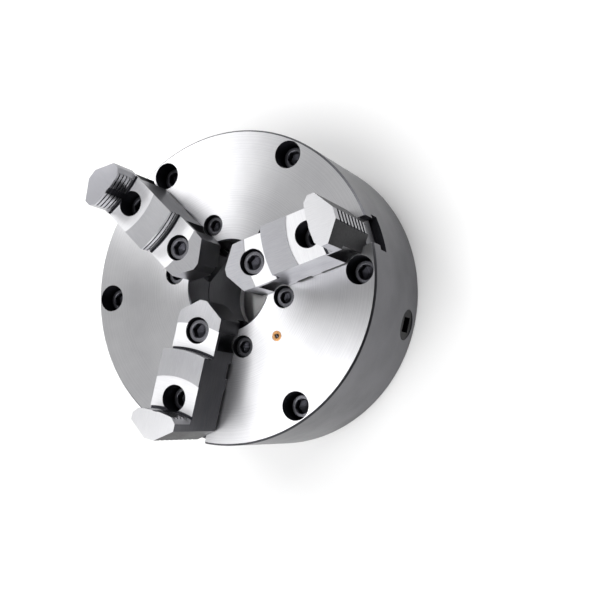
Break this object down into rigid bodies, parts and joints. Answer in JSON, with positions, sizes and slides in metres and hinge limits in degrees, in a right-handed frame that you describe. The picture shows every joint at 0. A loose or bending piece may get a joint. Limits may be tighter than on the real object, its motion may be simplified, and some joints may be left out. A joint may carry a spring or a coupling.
{
  "type": "lathe chuck",
  "caption": "Self-centring scroll chuck whose stepped reversible jaws slide in radial T-slots, moved by bevel pinions turned with a square key.",
  "frame": {"origin": "centre of the flat back face, on the spindle axis", "axes": "+Z along the spindle axis, out of the jaw face; +X along the first jaw"},
  "size_m": [0.25, 0.25, 0.154],
  "materials": {
    "body_steel": "fine-turned, ground rim",
    "cover_steel": "turned",
    "pin_steel": "ground",
    "scroll_steel": "hardened, ground",
    "pinion_steel": "hardened, oiled",
    "jaw_slide_steel": "hardened, ground",
    "hard_jaw_steel": "ground",
    "black_screw": "black oxide",
    "brass": "turned",
    "ball_steel": "polished",
    "spring_steel": "bright wire"
  },
  "bodies": {
    "chuck_body": {"body": "body_steel", "rear_cover": "cover_steel", "cover_dowels": "pin_steel", "pinion_pins": "pin_steel", "mounting_screws": "black_screw", "hub_screws": "black_screw", "oiler_body": "brass", "oiler_spring": "spring_steel"},
    "scroll": {"scroll_plate": "scroll_steel"},
    "oiler_valve": {"oiler_ball": "ball_steel"},
    "jaw_1": {"master_jaw_1": "jaw_slide_steel", "top_jaw_1": "hard_jaw_steel", "jaw_screws_1": "black_screw"},
    "key_pinion_1": {"pinion_1": "pinion_steel"},
    "jaw_2": {"master_jaw_2": "jaw_slide_steel", "top_jaw_2": "hard_jaw_steel", "jaw_screws_2": "black_screw"},
    "key_pinion_2": {"pinion_2": "pinion_steel"},
    "jaw_3": {"master_jaw_3": "jaw_slide_steel", "top_jaw_3": "hard_jaw_steel", "jaw_screws_3": "black_screw"},
    "key_pinion_3": {"pinion_3": "pinion_steel"}
  },
  "joints": [
    {"name": "scroll_turn", "type": "hinge", "parent": "chuck_body", "child": "scroll", "pos_m": [0, 0, 0.05], "axis": [0, 0, 1], "range_deg": [-720, 468]},
    {"name": "jaw_1_slide", "type": "slide", "parent": "chuck_body", "child": "jaw_1", "axis": [1, 0, 0], "range_m": [-0.01301, 0.02001]},
    {"name": "pinion_1_turn", "type": "hinge", "parent": "chuck_body", "child": "key_pinion_1", "pos_m": [0.09699, -0.056, 0.019], "axis": [0.866, -0.5, 0], "range_deg": [-4564, 7021]},
    {"name": "jaw_2_slide", "type": "slide", "parent": "chuck_body", "child": "jaw_2", "axis": [-0.5, 0.866, 0], "range_m": [-0.01301, 0.02001]},
    {"name": "pinion_2_turn", "type": "hinge", "parent": "chuck_body", "child": "key_pinion_2", "pos_m": [0, 0.112, 0.019], "axis": [0, 1, 0], "range_deg": [-4564, 7021]},
    {"name": "jaw_3_slide", "type": "slide", "parent": "chuck_body", "child": "jaw_3", "axis": [-0.5, -0.866, 0], "range_m": [-0.01301, 0.02001]},
    {"name": "pinion_3_turn", "type": "hinge", "parent": "chuck_body", "child": "key_pinion_3", "pos_m": [-0.09699, -0.056, 0.019], "axis": [-0.866, -0.5, 0], "range_deg": [-4564, 7021]},
    {"name": "oiler_ball_press", "type": "slide", "parent": "chuck_body", "child": "oiler_valve", "axis": [0, 0, -1], "range_m": [0, 0.0008], "stiffness_N_per_m": 300, "deforming": ["oiler_spring"]}
  ],
  "couplings": [
    {"joint": "jaw_1_slide", "follows": "scroll_turn", "m_per_rad": -0.0015915},
    {"joint": "pinion_1_turn", "follows": "scroll_turn", "ratio": -9.75},
    {"joint": "jaw_2_slide", "follows": "scroll_turn", "m_per_rad": -0.0015915},
    {"joint": "pinion_2_turn", "follows": "scroll_turn", "ratio": -9.75},
    {"joint": "jaw_3_slide", "follows": "scroll_turn", "m_per_rad": -0.0015915},
    {"joint": "pinion_3_turn", "follows": "scroll_turn", "ratio": -9.75}
  ]
}
